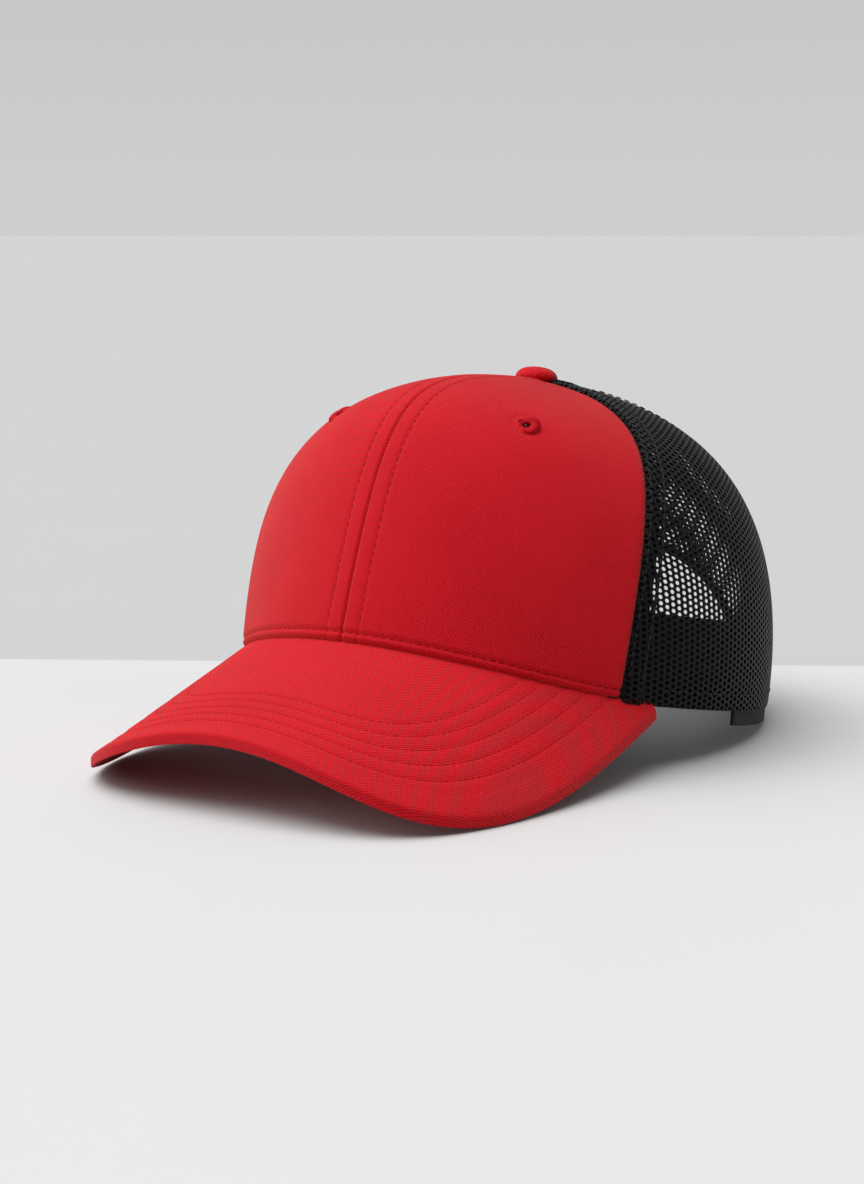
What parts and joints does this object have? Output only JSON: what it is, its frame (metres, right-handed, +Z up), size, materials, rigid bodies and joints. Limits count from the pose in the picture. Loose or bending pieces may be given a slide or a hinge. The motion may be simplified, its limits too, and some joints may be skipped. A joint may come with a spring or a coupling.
{
  "type": "trucker cap",
  "caption": "Six-panel trucker cap with stiffened cloth front, curved visor, open mesh sides and back, and a plastic snap strap across the rear arch.",
  "frame": {"origin": "middle of the whole cap's footprint, on the table it stands on", "axes": "+Z up, -Y towards the visor's front edge, +Y towards the snap strap, +X towards the wearer's left"},
  "size_m": [0.1762, 0.263, 0.1244],
  "materials": {
    "red_cloth": "matt woven polyester-cotton cloth",
    "red_thread": "embroidery thread, slight sheen",
    "black_mesh": "knitted polyester mesh",
    "black_tape": "woven tape",
    "sweatband_cloth": "brushed cotton twill",
    "buckram": "stiffened open weave",
    "visor_board": "polyethylene sheet",
    "steel": "plain stamped steel",
    "strap_plastic": "soft moulded plastic, satin"
  },
  "bodies": {
    "crown": {"front_panel_left": "red_cloth", "front_panel_right": "red_cloth", "front_stiffener_left": "buckram", "front_stiffener_right": "buckram", "eyelet_left": "red_thread", "eyelet_right": "red_thread", "side_mesh_left": "black_mesh", "side_mesh_right": "black_mesh", "rear_mesh_left": "black_mesh", "rear_mesh_right": "black_mesh", "arch_binding": "black_tape", "front_centre_tape": "black_tape", "rear_centre_tape": "black_tape", "front_side_tape_left": "black_tape", "front_side_tape_right": "black_tape", "rear_side_tape_left": "black_tape", "rear_side_tape_right": "black_tape", "side_hem_tape_left": "black_tape", "side_hem_tape_right": "black_tape", "rear_hem_tape_left": "black_tape", "rear_hem_tape_right": "black_tape", "sweatband": "sweatband_cloth", "visor_top_cover": "red_cloth", "visor_under_cover": "red_cloth", "visor_board": "visor_board", "button_cover": "red_cloth", "button_base": "steel", "button_rivet": "steel", "strap_tab_left": "strap_plastic", "strap_tab_right": "strap_plastic"},
    "peg_strap": {"peg_strap": "strap_plastic"},
    "hole_strap": {"hole_strap": "strap_plastic"}
  },
  "joints": [
    {"name": "hole_strap_bend", "type": "hinge", "parent": "crown", "child": "hole_strap", "pos_m": [0.03816, 0.11797, 0.0115], "axis": [0, 0, -1], "range_deg": [0, 65], "stiffness_Nm_per_rad": 0.01},
    {"name": "peg_strap_bend", "type": "hinge", "parent": "crown", "child": "peg_strap", "pos_m": [-0.03816, 0.11797, 0.0115], "axis": [0, 0, -1], "range_deg": [0, 30], "stiffness_Nm_per_rad": 0.01}
  ]
}
